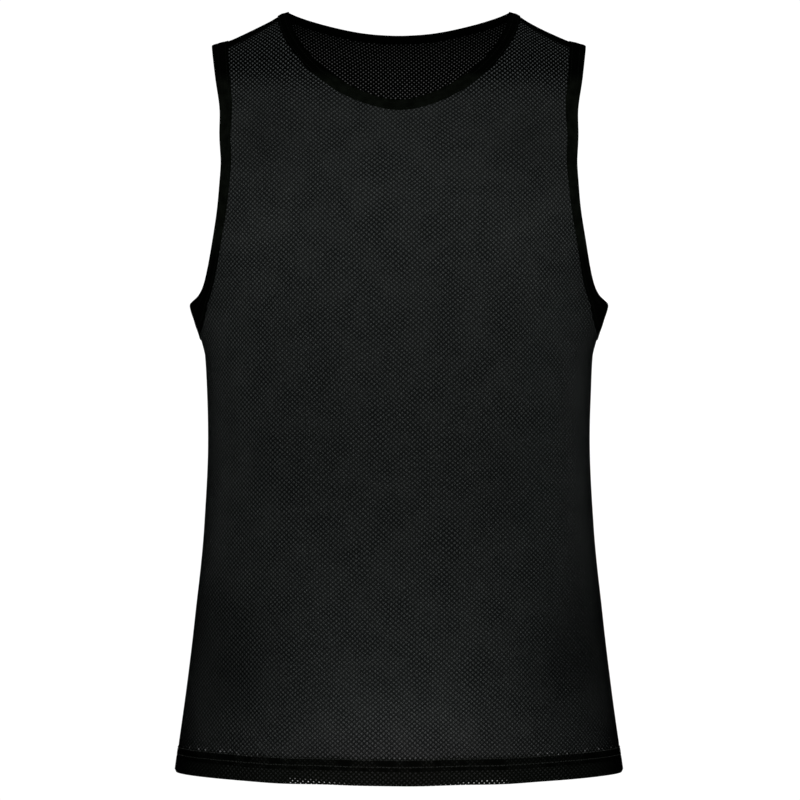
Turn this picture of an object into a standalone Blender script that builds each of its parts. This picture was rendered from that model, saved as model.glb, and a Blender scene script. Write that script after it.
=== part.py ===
"""Training bib: a sleeveless mesh top for team sports, filled out as it is worn, with nobody in it.

Metres, +Z up. The bib's front faces -Y and the wearer's left side is at +X. The origin is midway
between the two points where the shoulder seams meet the neck, the level at which the bib is held up.

A place on the cloth has two numbers. "angle" goes round the body: 0 at the centre of the front or back
and a quarter turn at the side seams. "turn" goes down it: 0 on the shoulder line, where front and back
meet, 1 where the cloth has turned from level to upright, and more below that.
"""

from bisect import bisect_right
from collections import Counter, namedtuple
from math import acos, asin, cos, exp, pi, radians, sin

import bmesh
import bpy
from mathutils import Matrix, Vector

FRONT, BACK = -1, 1
QUARTER = pi / 2

# Whole garment
LENGTH = 0.705                  # neck point of the shoulder seam down to the hem
SEAM_GAP = 0.0003               # between two pieces that are sewn together
CLOTH = 0.0012                  # wall of the mesh panels
HEM_CLOTH = 0.0024              # the same cloth turned up, two layers
HEM_HEIGHT = 0.024
HEM_STEP = 0.0015               # height over which one layer becomes two

# Neck: half width on the shoulder line, then drop = depth * (1 - (x / half width) ** flare) ** round
NECK_HALF_WIDTH = 0.102
Neckline = namedtuple("Neckline", "depth flare round")
NECKLINE = {
    FRONT: Neckline(depth=0.088, flare=1.65, round=0.606),
    BACK: Neckline(depth=0.0157, flare=1.7, round=1.0),
}

# Height over which the cloth turns from level on the shoulder to upright on the chest or back
SHOULDER_TURN = {FRONT: 0.170, BACK: 0.110}

# Folded tape round the neck and armholes
BINDING_WIDTH = 0.011
BINDING_CLOTH = 0.0010
BINDING_ROUND = 0.0005          # softens the folded edge
UNDERARM_BINDING = 0.025        # height of the tape where it crosses the side seam
UNDERARM_BLEND = 0.70           # share of the armhole at which the tape starts to turn down to the seam

# Under the arm the tape's stiff corner pokes the side seam out
POKE = 0.006
POKE_DROP = 0.282
POKE_HEIGHT = 0.016
POKE_SHARPNESS = 15             # odd, so that left and right poke opposite ways

# Shoulder line seen from the front: how far it falls at each distance from the middle
ShoulderPoint = namedtuple("ShoulderPoint", "x fall")
SHOULDER_LINE = (
    ShoulderPoint(x=0.102, fall=0.0000),
    ShoulderPoint(x=0.110, fall=0.0025),
    ShoulderPoint(x=0.120, fall=0.0085),
    ShoulderPoint(x=0.140, fall=0.0185),
    ShoulderPoint(x=0.160, fall=0.0270),
    ShoulderPoint(x=0.174, fall=0.0310),
)

# Level sections of the filled-out body, from the neck down
Section = namedtuple("Section", "drop half_width front_depth back_depth side_pinch")
SECTIONS = (
    Section(drop=0.000, half_width=0.204, front_depth=0.082, back_depth=0.106, side_pinch=0.10),
    Section(drop=0.060, half_width=0.204, front_depth=0.084, back_depth=0.109, side_pinch=0.10),
    Section(drop=0.100, half_width=0.204, front_depth=0.092, back_depth=0.112, side_pinch=0.10),
    Section(drop=0.140, half_width=0.200, front_depth=0.101, back_depth=0.113, side_pinch=0.10),
    Section(drop=0.200, half_width=0.192, front_depth=0.113, back_depth=0.112, side_pinch=0.10),
    Section(drop=0.270, half_width=0.185, front_depth=0.118, back_depth=0.108, side_pinch=0.10),
    Section(drop=0.337, half_width=0.179, front_depth=0.116, back_depth=0.101, side_pinch=0.12),
    Section(drop=0.395, half_width=0.1774, front_depth=0.113, back_depth=0.096, side_pinch=0.13),
    Section(drop=0.476, half_width=0.181, front_depth=0.112, back_depth=0.099, side_pinch=0.16),
    Section(drop=0.569, half_width=0.1904, front_depth=0.114, back_depth=0.106, side_pinch=0.20),
    Section(drop=0.639, half_width=0.199, front_depth=0.117, back_depth=0.110, side_pinch=0.23),
    Section(drop=0.705, half_width=0.2083, front_depth=0.120, back_depth=0.112, side_pinch=0.25),
)

# Finished edge of the armhole: how far round the body it lies at each drop (90 degrees is the side seam)
ArmholePoint = namedtuple("ArmholePoint", "drop degrees")
ARMHOLE = (
    ArmholePoint(drop=0.031, degrees=58.5),
    ArmholePoint(drop=0.062, degrees=56.2),
    ArmholePoint(drop=0.100, degrees=53.6),
    ArmholePoint(drop=0.137, degrees=54.2),
    ArmholePoint(drop=0.174, degrees=57.7),
    ArmholePoint(drop=0.211, degrees=63.4),
    ArmholePoint(drop=0.248, degrees=71.5),
    ArmholePoint(drop=0.263, degrees=77.2),
    ArmholePoint(drop=0.274, degrees=90.0),
)

# Long soft folds of the loose cloth: x where the fold meets the hem, x where it fades out higher up
Fold = namedtuple("Fold", "side hem_x top_x top_drop half_width height")
FOLDS = (
    Fold(side=FRONT, hem_x=-0.112, top_x=-0.090, top_drop=0.42, half_width=0.022, height=0.0045),
    Fold(side=FRONT, hem_x=-0.066, top_x=-0.060, top_drop=0.50, half_width=0.020, height=-0.0030),
    Fold(side=FRONT, hem_x=0.098, top_x=0.078, top_drop=0.44, half_width=0.021, height=0.0040),
    Fold(side=FRONT, hem_x=0.052, top_x=0.048, top_drop=0.52, half_width=0.020, height=-0.0028),
    Fold(side=FRONT, hem_x=0.010, top_x=0.006, top_drop=0.56, half_width=0.026, height=0.0022),
    Fold(side=BACK, hem_x=-0.095, top_x=-0.070, top_drop=0.34, half_width=0.024, height=0.0050),
    Fold(side=BACK, hem_x=-0.040, top_x=-0.034, top_drop=0.38, half_width=0.022, height=-0.0040),
    Fold(side=BACK, hem_x=0.028, top_x=0.022, top_drop=0.36, half_width=0.024, height=0.0040),
    Fold(side=BACK, hem_x=0.108, top_x=0.076, top_drop=0.40, half_width=0.023, height=0.0046),
)

# How finely the solids are divided
NECK_STEPS = {FRONT: 12, BACK: 8}   # along half of the front or back neckline
ARMHOLE_STEPS = 18              # along the front or back half of one armhole
SIDE_STEPS = 10                 # down the side seam, from the armhole to the hem's stitching
HALF_COLUMNS = 16               # across half a panel
CURVE_SAMPLES = 240             # used to space points evenly along an edge
EDGE_NUDGE = 1e-3               # share of an edge, used to find its direction
SLOPE_STEP = 1e-4               # change of angle or turn, used to find the cloth's slopes
INSET_STEPS = 4                 # steps taken to move in from an edge along the cloth
SHARP_ANGLE = radians(50)

CLOTH_COLOUR = (0.012, 0.012, 0.013, 1.0)
BINDING_COLOUR = (0.006, 0.006, 0.0065, 1.0)
CLOTH_ROUGHNESS = 0.78
BINDING_ROUGHNESS = 0.7

Place = namedtuple("Place", "angle turn")


def smooth_through(xs, ys):
    """A function that runs through the points (x, y) with no overshoot, and stays level beyond them."""
    rises = [(ys[i + 1] - ys[i]) / (xs[i + 1] - xs[i]) for i in range(len(xs) - 1)]
    slopes = [rises[0]]
    for before, after in zip(rises, rises[1:]):
        turns_back = before * after <= 0
        slopes.append(0.0 if turns_back else 2 * before * after / (before + after))
    slopes.append(rises[-1])

    def value(x):
        x = min(max(x, xs[0]), xs[-1])
        i = min(bisect_right(xs, x) - 1, len(xs) - 2)
        span = xs[i + 1] - xs[i]
        t = (x - xs[i]) / span
        start = (1 + 2 * t) * (1 - t) ** 2 * ys[i] + t * (1 - t) ** 2 * span * slopes[i]
        end = t * t * (3 - 2 * t) * ys[i + 1] + t * t * (t - 1) * span * slopes[i + 1]
        return start + end

    return value


def column(table, key, name):
    """The named column of a table as a smooth function of its key column."""
    return smooth_through([getattr(row, key) for row in table], [getattr(row, name) for row in table])


half_width = column(SECTIONS, "drop", "half_width")
side_pinch = column(SECTIONS, "drop", "side_pinch")
depth_of = {FRONT: column(SECTIONS, "drop", "front_depth"), BACK: column(SECTIONS, "drop", "back_depth")}
shoulder_fall = column(SHOULDER_LINE, "x", "fall")
armhole_degrees = column(ARMHOLE, "drop", "degrees")


def smooth_step(t):
    t = min(max(t, 0.0), 1.0)
    return t * t * (3 - 2 * t)


def mix(a, b, share):
    return a + (b - a) * share


def fold_height(side, x, drop):
    """How far the long folds push the cloth out at this place."""
    height = 0.0
    for fold in FOLDS:
        if fold.side == side and drop > fold.top_drop:
            share = (drop - fold.top_drop) / (LENGTH - fold.top_drop)
            middle = mix(fold.top_x, fold.hem_x, share)
            height += fold.height * smooth_step(share) * exp(-((x - middle) / fold.half_width) ** 2)
    return height


def on_cloth(side, place):
    """The point of the cloth's outer face at a place."""
    lean = SHOULDER_TURN[side]
    if place.turn < 1:
        level = cos(place.turn * QUARTER)
        reach = sin(place.turn * QUARTER)
        drop = lean * (1 - level)
    else:
        level = 0.0
        reach = 1.0
        drop = lean * (1 + (place.turn - 1) * QUARTER)
    across = sin(place.angle)
    poke = POKE * exp(-((drop - POKE_DROP) / POKE_HEIGHT) ** 2)
    x = half_width(drop) * across + poke * across ** POKE_SHARPNESS
    pinch = 1 - side_pinch(drop) * across ** 2
    bulge = depth_of[side](drop) * pinch + fold_height(side, x, drop)
    y = side * (SEAM_GAP / 2 + bulge * reach * cos(place.angle))
    z = -drop - level * shoulder_fall(abs(x))
    return Vector((x, y, z))


def turn_at(side, x, drop):
    """The turn of the place that is this far from the middle and this far below the neck point."""
    lean = SHOULDER_TURN[side]
    if drop < lean:
        fall = shoulder_fall(abs(x))
        return acos(min((lean - drop) / (lean - fall), 1.0)) / QUARTER
    return 1 + (drop - lean) / (lean * QUARTER)


def slopes_at(side, place):
    """The cloth's directions round and down the body, as lengths per unit of angle and of turn."""
    round_body = on_cloth(side, Place(place.angle + SLOPE_STEP, place.turn))
    round_body -= on_cloth(side, Place(place.angle - SLOPE_STEP, place.turn))
    down_body = on_cloth(side, Place(place.angle, place.turn + SLOPE_STEP))
    down_body -= on_cloth(side, Place(place.angle, place.turn - SLOPE_STEP))
    return round_body / (2 * SLOPE_STEP), down_body / (2 * SLOPE_STEP)


def outward(side, place):
    """The cloth's outward normal."""
    round_body, down_body = slopes_at(side, place)
    return (round_body.cross(down_body) * side).normalized()


def neck_edge(side, share):
    """Finished edge of the neck: share 0 is at the shoulder seam and 1 at the centre."""
    line = NECKLINE[side]
    x = NECK_HALF_WIDTH * cos(share * QUARTER)
    drop = line.depth * (1 - (x / NECK_HALF_WIDTH) ** line.flare) ** line.round
    return Place(asin(x / half_width(drop)), turn_at(side, x, drop))


def armhole_edge(side, share):
    """Finished edge of an armhole: share 0 is at the shoulder seam and 1 at the side seam."""
    drop = mix(ARMHOLE[0].drop, ARMHOLE[-1].drop, share)
    angle = radians(armhole_degrees(drop))
    if share == 0:
        return Place(angle, 0.0)
    return Place(angle, turn_at(side, half_width(drop) * sin(angle), drop))


def evenly_spaced(side, edge, steps):
    """Shares of an edge that are the same distance apart along it."""
    shares = [i / CURVE_SAMPLES for i in range(CURVE_SAMPLES + 1)]
    points = [on_cloth(side, edge(side, share)) for share in shares]
    travelled = [0.0]
    for a, b in zip(points, points[1:]):
        travelled.append(travelled[-1] + (b - a).length)
    chosen = []
    for i in range(steps + 1):
        goal = travelled[-1] * i / steps
        k = min(bisect_right(travelled, goal) - 1, CURVE_SAMPLES - 1)
        part = (goal - travelled[k]) / (travelled[k + 1] - travelled[k])
        chosen.append(mix(shares[k], shares[k + 1], min(part, 1.0)))
    return chosen


def step_inside(side, place, heading, distance, keep_angle, keep_turn):
    """The place a distance away along the cloth, with its angle or turn kept on a seam."""
    for _ in range(INSET_STEPS):
        round_body, down_body = slopes_at(side, place)
        frame = Matrix((round_body, down_body, outward(side, place))).transposed()
        change = frame.inverted() @ (heading.normalized() * distance / INSET_STEPS)
        angle = place.angle if keep_angle else place.angle + change[0]
        turn = place.turn if keep_turn else place.turn + change[1]
        place = Place(angle, turn)
    return place


# Columns of places in from a finished edge
FOLD, INSIDE_FOLD, CUT_EDGE, MID_TAPE, TAPE_END = range(5)
TAPE_NEAR = SEAM_GAP
TAPE_FAR = SEAM_GAP + BINDING_CLOTH

# The folded tape's outline, a U that clasps the panel's edge: heights are above the cloth's outer face
TapePoint = namedtuple("TapePoint", "column height")
TAPE_OUTLINE = (
    TapePoint(column=TAPE_END, height=TAPE_FAR),
    TapePoint(column=MID_TAPE, height=TAPE_FAR),
    TapePoint(column=INSIDE_FOLD, height=TAPE_FAR),
    TapePoint(column=FOLD, height=TAPE_FAR - BINDING_ROUND),
    TapePoint(column=FOLD, height=BINDING_ROUND - CLOTH - TAPE_FAR),
    TapePoint(column=INSIDE_FOLD, height=-CLOTH - TAPE_FAR),
    TapePoint(column=MID_TAPE, height=-CLOTH - TAPE_FAR),
    TapePoint(column=TAPE_END, height=-CLOTH - TAPE_FAR),
    TapePoint(column=TAPE_END, height=-CLOTH - TAPE_NEAR),
    TapePoint(column=MID_TAPE, height=-CLOTH - TAPE_NEAR),
    TapePoint(column=INSIDE_FOLD, height=-CLOTH - TAPE_NEAR),
    TapePoint(column=INSIDE_FOLD, height=TAPE_NEAR),
    TapePoint(column=MID_TAPE, height=TAPE_NEAR),
    TapePoint(column=TAPE_END, height=TAPE_NEAR),
)


def strip_under_tape(side, edge, steps, inside_sign, at_side_seam):
    """Rows of places in from an edge, one place for each column."""
    rows = []
    for i, share in enumerate(evenly_spaced(side, edge, steps)):
        place = edge(side, share)
        last = i == steps
        before = on_cloth(side, edge(side, max(share - EDGE_NUDGE, 0.0)))
        after = on_cloth(side, edge(side, min(share + EDGE_NUDGE, 1.0)))
        heading = outward(side, place).cross(after - before) * inside_sign * side
        heading.normalize()
        width = BINDING_WIDTH
        if at_side_seam:
            turned = smooth_step((share - UNDERARM_BLEND) / (1 - UNDERARM_BLEND))
            down = slopes_at(side, place)[1].normalized()
            heading = heading.lerp(down, turned)
            width = mix(BINDING_WIDTH, UNDERARM_BINDING, turned ** 2)
        distances = (0.0, BINDING_CLOTH, BINDING_CLOTH + SEAM_GAP, width / 2, width)
        rows.append([step_inside(side, place, heading, d, last, i == 0) for d in distances])
    return rows


def drops_between(start, end, steps):
    return [mix(start, end, i / steps) for i in range(1, steps + 1)]


def panel_rows(side, neck_strip, armhole_strip):
    """Rows of places across half a panel, from the neck or centre line to the armhole or side seam."""
    neck_line = [row[-1] for row in neck_strip]
    armhole_line = [row[-1] for row in armhole_strip]
    stitching = LENGTH - HEM_HEIGHT
    hem = [stitching + HEM_STEP, mix(stitching, LENGTH, 0.5), LENGTH]

    neck_bottom = -on_cloth(side, neck_line[-1]).z
    seam_top = -on_cloth(side, armhole_line[-1]).z
    centre = drops_between(neck_bottom, seam_top, ARMHOLE_STEPS - NECK_STEPS[side])
    below = drops_between(seam_top, stitching, SIDE_STEPS) + hem
    inner = neck_line + [Place(0.0, turn_at(side, 0.0, drop)) for drop in centre + below]
    outer = armhole_line + [Place(QUARTER, turn_at(side, 0.0, drop)) for drop in below]

    rows = []
    for start, end in zip(inner, outer):
        shares = [i / HALF_COLUMNS for i in range(HALF_COLUMNS + 1)]
        rows.append([Place(mix(start.angle, end.angle, t), mix(start.turn, end.turn, t)) for t in shares])
    return rows


def wall_thickness(point):
    """One layer of cloth, or two where the hem is turned up."""
    turned_up = -point.z > LENGTH - HEM_HEIGHT + HEM_STEP / 2
    return HEM_CLOTH if turned_up else CLOTH


def cloth_material(name, colour, roughness):
    material = bpy.data.materials.new(name)
    material.use_nodes = True
    shader = material.node_tree.nodes["Principled BSDF"]
    shader.inputs["Base Color"].default_value = colour
    shader.inputs["Roughness"].default_value = roughness
    shader.inputs["Metallic"].default_value = 0.0
    material.diffuse_color = colour
    return material


def make_object(name, points, faces, material):
    """A smooth-shaded object whose faces all point out."""
    mesh = bpy.data.meshes.new(name)
    mesh.from_pydata(points, [], faces)
    shape = bmesh.new()
    shape.from_mesh(mesh)
    bmesh.ops.recalc_face_normals(shape, faces=shape.faces)
    shape.to_mesh(mesh)
    shape.free()
    mesh.shade_smooth()
    mesh.set_sharp_from_angle(angle=SHARP_ANGLE)
    mesh.materials.append(material)
    obj = bpy.data.objects.new(name, mesh)
    bpy.context.scene.collection.objects.link(obj)
    return obj


def split_quad(a, b, c, d):
    """Two triangles that share the edge from a to c."""
    return [a, b, c], [a, c, d]


def make_panel(name, side, strips, material):
    """A front or back: an outer skin, the same skin moved in by the cloth's thickness, and a rim."""
    neck_strip, armhole_strip = strips
    patches = [
        [row[CUT_EDGE:] for row in neck_strip],
        [row[CUT_EDGE:] for row in armhole_strip],
        panel_rows(side, neck_strip, armhole_strip),
    ]
    index = {}
    outer, inner, triangles = [], [], []

    def corner(angle, turn):
        key = (round(angle, 7), round(turn, 7))
        if key not in index:
            place = Place(angle, turn)
            point = on_cloth(side, place)
            index[key] = len(outer)
            outer.append(point)
            inner.append(point - outward(side, place) * wall_thickness(point))
        return index[key]

    for mirror in (1, -1):
        for rows in patches:
            grid = [[corner(mirror * place.angle, place.turn) for place in row] for row in rows]
            for upper, lower in zip(grid, grid[1:]):
                for c in range(len(upper) - 1):
                    pair = split_quad(upper[c], lower[c], lower[c + 1], upper[c + 1])
                    triangles += [corners[::mirror] for corners in pair]

    count = len(outer)
    faces = triangles + [[count + i for i in reversed(corners)] for corners in triangles]
    sides = [(corners[k], corners[(k + 1) % 3]) for corners in triangles for k in range(3)]
    uses = Counter(frozenset(ends) for ends in sides)
    faces += [[b, a, count + a, count + b] for a, b in sides if uses[frozenset((a, b))] == 1]
    return make_object(name, outer + inner, faces, material)


def tape_section(side, row, mirror):
    """The tape's outline at one row of places."""
    places = [Place(mirror * place.angle, place.turn) for place in row]
    points = [on_cloth(side, place) for place in places]
    normals = [outward(side, place) for place in places]
    return [points[column] + normals[column] * height for column, height in TAPE_OUTLINE]


def half_ring(side, strip, mirror):
    """Outlines along one strip, each with its number counted from the shoulder seam."""
    return [(i, tape_section(side, row, mirror)) for i, row in enumerate(strip)]


def meet(a, b):
    """One outline midway between two that are a seam gap apart."""
    return a[0], [(p + q) / 2 for p, q in zip(a[1], b[1])]


def make_ring(name, sections, material):
    """A closed ring of tape through its outlines, split into the same triangles as the panels under it."""
    size = len(TAPE_OUTLINE)
    points = [point for _, section in sections for point in section]
    faces = []
    for i, (number, _) in enumerate(sections):
        after = (i + 1) % len(sections)
        away = sections[after][0] - number
        for k in range(size):
            nearby = (k + 1) % size
            inwards = TAPE_OUTLINE[nearby].column - TAPE_OUTLINE[k].column
            here, there = i * size, after * size
            corners = [here + k, here + nearby, there + nearby, there + k]
            if away * inwards < 0:
                corners = corners[1:] + corners[:1]
            faces += split_quad(*corners)
    return make_object(name, points, faces, material)


def neck_sections(strips):
    """Outlines round the neck: down the left of the front, up its right, and round the back."""
    front_left, front_right = [half_ring(FRONT, strips[FRONT][0], mirror) for mirror in (1, -1)]
    back_left, back_right = [half_ring(BACK, strips[BACK][0], mirror) for mirror in (1, -1)]
    return (
        [meet(front_left[0], back_left[0])] + front_left[1:] + front_right[-2:0:-1]
        + [meet(front_right[0], back_right[0])] + back_right[1:] + back_left[-2:0:-1]
    )


def armhole_sections(strips, mirror):
    """Outlines round one armhole: down its front half and up its back half."""
    front = half_ring(FRONT, strips[FRONT][1], mirror)
    back = half_ring(BACK, strips[BACK][1], mirror)
    return (
        [meet(front[0], back[0])] + front[1:-1]
        + [meet(front[-1], back[-1])] + back[-2:0:-1]
    )


def clear_scene():
    for obj in list(bpy.data.objects):
        bpy.data.objects.remove(obj, do_unlink=True)


def main():
    clear_scene()
    strips = {}
    for side in (FRONT, BACK):
        neck_strip = strip_under_tape(side, neck_edge, NECK_STEPS[side], -1, False)
        armhole_strip = strip_under_tape(side, armhole_edge, ARMHOLE_STEPS, 1, True)
        strips[side] = (neck_strip, armhole_strip)

    cloth = cloth_material("mesh_cloth", CLOTH_COLOUR, CLOTH_ROUGHNESS)
    tape = cloth_material("binding_tape", BINDING_COLOUR, BINDING_ROUGHNESS)
    make_panel("front_panel", FRONT, strips[FRONT], cloth)
    make_panel("back_panel", BACK, strips[BACK], cloth)
    make_ring("neck_binding", neck_sections(strips), tape)
    make_ring("armhole_binding_left", armhole_sections(strips, 1), tape)
    make_ring("armhole_binding_right", armhole_sections(strips, -1), tape)


main()
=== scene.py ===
"""Looks of the training bib: the mesh cloth, its bindings, hem, seams and stitches, with light and camera.

Every length is in metres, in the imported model's frame: +Z up, the bib's front faces -Y, the wearer's left
is at +X, and the origin lies midway between the two high shoulder points.

A place on the cloth has two numbers. "angle" goes round the body: 0 at the centre of the front or back and
a quarter turn at the side seams. "turn" goes down it: 0 on the shoulder line and 1 where the cloth has
turned from level to upright. Arrays of places and points are handled together.
"""

from collections import namedtuple
from math import pi

import bpy
import numpy as np
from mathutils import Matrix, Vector


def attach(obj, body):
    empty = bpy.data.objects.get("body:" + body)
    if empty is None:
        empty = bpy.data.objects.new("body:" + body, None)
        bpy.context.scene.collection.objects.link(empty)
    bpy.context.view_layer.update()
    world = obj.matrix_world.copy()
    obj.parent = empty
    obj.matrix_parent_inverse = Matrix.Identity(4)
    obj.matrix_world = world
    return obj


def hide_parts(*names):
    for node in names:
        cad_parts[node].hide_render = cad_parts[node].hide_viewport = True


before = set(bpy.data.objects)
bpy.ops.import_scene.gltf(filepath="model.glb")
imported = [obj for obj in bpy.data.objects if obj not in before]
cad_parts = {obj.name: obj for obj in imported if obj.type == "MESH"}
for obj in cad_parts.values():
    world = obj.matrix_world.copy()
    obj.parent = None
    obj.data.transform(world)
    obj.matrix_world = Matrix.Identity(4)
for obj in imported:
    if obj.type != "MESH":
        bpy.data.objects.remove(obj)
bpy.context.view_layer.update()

FRONT, BACK = -1, 1
QUARTER = pi / 2

# ------------ the cut, as in the solids

LENGTH = 0.705
HEM_HEIGHT = 0.024
NECK_HALF_WIDTH = 0.102
Neckline = namedtuple("Neckline", "depth flare round")
NECKLINE = {
    FRONT: Neckline(depth=0.088, flare=1.65, round=0.606),
    BACK: Neckline(depth=0.0157, flare=1.7, round=1.0),
}
SHOULDER_TURN = {FRONT: 0.170, BACK: 0.110}  # drop at which the cloth has turned upright
BINDING_WIDTH = 0.011

ShoulderPoint = namedtuple("ShoulderPoint", "x fall")
SHOULDER_LINE = [ShoulderPoint(*row) for row in (
    (0.102, 0.0000),
    (0.110, 0.0025),
    (0.120, 0.0085),
    (0.140, 0.0185),
    (0.160, 0.0270),
    (0.174, 0.0310),
)]

# side_pinch is the share of its depth that a section loses towards the sides
Section = namedtuple("Section", "drop half_width front_depth back_depth side_pinch")
SECTIONS = [Section(*row) for row in (
    (0.000, 0.204, 0.082, 0.106, 0.10),
    (0.060, 0.204, 0.084, 0.109, 0.10),
    (0.100, 0.204, 0.092, 0.112, 0.10),
    (0.140, 0.200, 0.101, 0.113, 0.10),
    (0.200, 0.192, 0.113, 0.112, 0.10),
    (0.270, 0.185, 0.118, 0.108, 0.10),
    (0.337, 0.179, 0.116, 0.101, 0.12),
    (0.395, 0.1774, 0.113, 0.096, 0.13),
    (0.476, 0.181, 0.112, 0.099, 0.16),
    (0.569, 0.1904, 0.114, 0.106, 0.20),
    (0.639, 0.199, 0.117, 0.110, 0.23),
    (0.705, 0.2083, 0.120, 0.112, 0.25),
)]

ArmholePoint = namedtuple("ArmholePoint", "drop degrees")
ARMHOLE = [ArmholePoint(*row) for row in (
    (0.031, 58.5),
    (0.062, 56.2),
    (0.100, 53.6),
    (0.137, 54.2),
    (0.174, 57.7),
    (0.211, 63.4),
    (0.248, 71.5),
    (0.263, 77.2),
    (0.274, 90.0),
)]

Fold = namedtuple("Fold", "side hem_x top_x top_drop half_width height")
FOLDS = [Fold(*row) for row in (
    (FRONT, -0.112, -0.09, 0.42, 0.022, 0.0045),
    (FRONT, -0.066, -0.06, 0.5, 0.02, -0.003),
    (FRONT, 0.098, 0.078, 0.44, 0.021, 0.004),
    (FRONT, 0.052, 0.048, 0.52, 0.02, -0.0028),
    (FRONT, 0.01, 0.006, 0.56, 0.026, 0.0022),
    (BACK, -0.095, -0.07, 0.34, 0.024, 0.005),
    (BACK, -0.04, -0.034, 0.38, 0.022, -0.004),
    (BACK, 0.028, 0.022, 0.36, 0.024, 0.004),
    (BACK, 0.108, 0.076, 0.4, 0.023, 0.0046),
)]

# ------------ finer form, only here

CLOTH = 0.0008  # wall of the visible mesh cloth
CREASE_FADE = 0.35  # share of a crease over which each end fades out
SEAM_FADE = 0.12  # angle over which creases fade out at the side seams
UNDERARM_BINDING = 0.031  # height of the tape where it crosses the side seam
UNDERARM_BLEND = 0.62  # share of the armhole at which it starts to turn down to the seam
CORNER = 0.0098  # how far the tape's corner under the arm stands out
CORNER_DROP = 0.2710
CORNER_ABOVE = 0.0120  # heights over which it comes out above, and goes back in below
CORNER_BELOW = 0.0470
CORNER_CURVE = 1.15  # how its lower side bends in
CORNER_SHARPNESS = 15  # odd, so that left and right stand out opposite ways

# Soft creases: from one point (x, drop) to another, ridges up and troughs down
Crease = namedtuple("Crease", "side x0 drop0 x1 drop1 half_width height")
CREASES = [Crease(*row) for row in (
    # across the front, from under the arms towards the middle of the chest
    (FRONT, -0.172, 0.262, -0.085, 0.215, 0.01, 0.0011),
    (FRONT, -0.176, 0.296, -0.092, 0.262, 0.0085, -0.001),
    (FRONT, -0.174, 0.335, -0.118, 0.318, 0.011, 0.001),
    (FRONT, 0.174, 0.268, 0.096, 0.228, 0.0095, 0.001),
    (FRONT, 0.177, 0.302, 0.088, 0.276, 0.009, -0.0011),
    (FRONT, 0.173, 0.345, 0.122, 0.322, 0.012, 0.0009),
    # from the shoulders down past the armholes
    (FRONT, -0.128, 0.06, -0.14, 0.165, 0.012, -0.001),
    (FRONT, 0.13, 0.055, 0.142, 0.158, 0.0115, -0.001),
    (FRONT, -0.112, 0.075, -0.12, 0.19, 0.01, 0.0008),
    (FRONT, 0.113, 0.08, 0.118, 0.205, 0.0105, 0.0008),
    # below the neck and at the waist
    (FRONT, -0.04, 0.122, 0.034, 0.128, 0.008, -0.0006),
    (FRONT, -0.15, 0.43, -0.06, 0.415, 0.014, -0.0009),
    (FRONT, 0.148, 0.442, 0.072, 0.424, 0.013, -0.0009),
    (FRONT, -0.158, 0.5, -0.104, 0.56, 0.011, 0.001),
    (FRONT, 0.16, 0.512, 0.11, 0.575, 0.012, 0.001),
    (FRONT, -0.17, 0.56, -0.15, 0.69, 0.012, 0.0016),
    (FRONT, 0.172, 0.575, 0.156, 0.695, 0.0115, 0.0015),
    (FRONT, -0.024, 0.6, -0.034, 0.7, 0.01, 0.0009),
    (FRONT, 0.074, 0.61, 0.078, 0.702, 0.009, -0.0008),
    # on the back
    (BACK, -0.172, 0.27, -0.07, 0.205, 0.011, 0.0013),
    (BACK, -0.175, 0.305, -0.082, 0.268, 0.0095, -0.0012),
    (BACK, 0.173, 0.274, 0.078, 0.216, 0.0105, 0.0012),
    (BACK, 0.176, 0.312, 0.09, 0.284, 0.01, -0.0011),
    (BACK, -0.118, 0.08, -0.128, 0.2, 0.012, -0.0011),
    (BACK, 0.12, 0.074, 0.126, 0.19, 0.011, -0.001),
    (BACK, -0.12, 0.395, -0.02, 0.38, 0.015, -0.0014),
    (BACK, 0.115, 0.405, 0.03, 0.372, 0.014, -0.0013),
    (BACK, -0.135, 0.35, -0.045, 0.43, 0.012, 0.0012),
    (BACK, -0.168, 0.54, -0.146, 0.69, 0.013, 0.0016),
    (BACK, 0.17, 0.556, 0.15, 0.694, 0.012, 0.0016),
    (BACK, 0.06, 0.6, 0.066, 0.702, 0.01, -0.001),
)]

# Uneven lie of the loose cloth: a few long waves, with lengths in metres
Wave = namedtuple("Wave", "length slant phase height")
WAVES = [Wave(*row) for row in (
    (0.083, 0.35, 0.4, 0.00022),
    (0.061, -0.50, 2.1, 0.00018),
    (0.047, 0.90, 4.0, 0.00012),
    (0.112, -1.30, 1.2, 0.00025),
)]

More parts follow.
